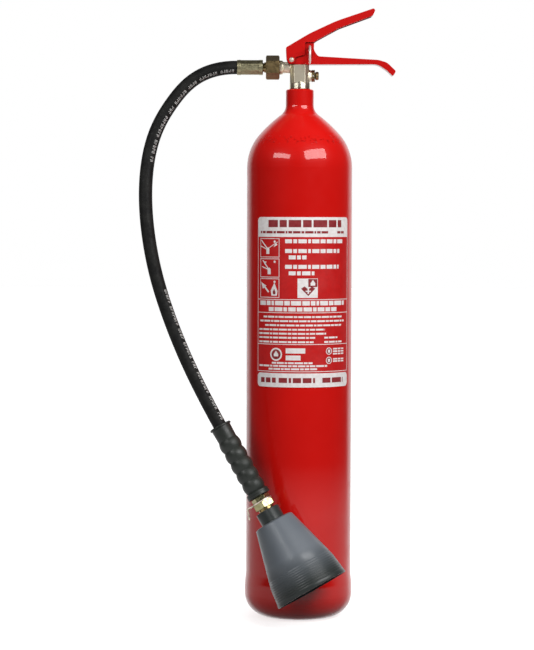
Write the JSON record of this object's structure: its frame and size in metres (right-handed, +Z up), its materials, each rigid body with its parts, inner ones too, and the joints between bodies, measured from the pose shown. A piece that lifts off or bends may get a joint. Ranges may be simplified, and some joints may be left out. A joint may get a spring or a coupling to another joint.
{
  "type": "carbon dioxide fire extinguisher",
  "caption": "Tall red steel gas cylinder with a squeeze-lever valve, pull pin, carry handle and a black hose ending in a ribbed grip and a conical discharge horn.",
  "frame": {"origin": "centre of the cylinder's foot ring, on the floor", "axes": "+Z up along the cylinder's axis; +X along the carry handle, away from the hose; -Y is the labelled front"},
  "size_m": [0.3333, 0.2348, 0.7859],
  "materials": {
    "red_paint": "gloss red enamel",
    "label_film": "printed film",
    "nickel_plate": "nickel plated, satin",
    "brass": "turned",
    "copper": "soft, plain",
    "zinc_plate": "zinc plated",
    "stainless": "bright drawn",
    "aluminium": "plain drawn tube",
    "seal_rubber": "smooth",
    "hose_rubber": "cloth-impressed, matte",
    "grip_rubber": "moulded, satin",
    "horn_plastic": "moulded, satin"
  },
  "bodies": {
    "extinguisher": {"cylinder": "red_paint", "label": "label_film", "valve_body": "nickel_plate", "dip_tube": "aluminium", "spring_retainer": "brass", "poppet_spring": "stainless", "stem_o_ring": "seal_rubber", "stem_gland": "brass", "burst_disc_plug": "nickel_plate", "burst_disc": "stainless", "burst_disc_gasket": "copper", "carry_handle": "red_paint", "lever_rivet": "stainless", "hose_nut": "zinc_plate", "hose_seal_washer": "copper", "hose_tail": "brass", "hose_ferrule": "zinc_plate", "hose": "hose_rubber", "hose_grip": "grip_rubber", "grip_ferrule": "zinc_plate", "lance_tube": "zinc_plate", "horn_hook_washer": "zinc_plate", "horn_nut": "zinc_plate", "horn_nozzle": "brass", "horn": "horn_plastic"},
    "squeeze_lever": {"squeeze_lever": "red_paint"},
    "valve_stem": {"valve_stem": "stainless", "poppet": "brass", "poppet_seal": "seal_rubber"},
    "safety_pin": {"safety_pin": "stainless"}
  },
  "joints": [
    {"name": "lever_hinge", "type": "hinge", "parent": "extinguisher", "child": "squeeze_lever", "pos_m": [-0.0108, 0, 0.7201], "axis": [0, 1, 0], "range_deg": [0, 12], "stiffness_Nm_per_rad": 1.5, "springref_deg": -5.73},
    {"name": "stem_slide", "type": "slide", "parent": "extinguisher", "child": "valve_stem", "axis": [0, 0, -1], "range_m": [0, 0.0023], "deforming": ["poppet_spring"]},
    {"name": "pin_slide", "type": "slide", "parent": "extinguisher", "child": "safety_pin", "axis": [0, -1, 0], "range_m": [0, 0.045]}
  ],
  "couplings": [
    {"joint": "stem_slide", "follows": "lever_hinge", "m_per_rad": 0.0108}
  ]
}
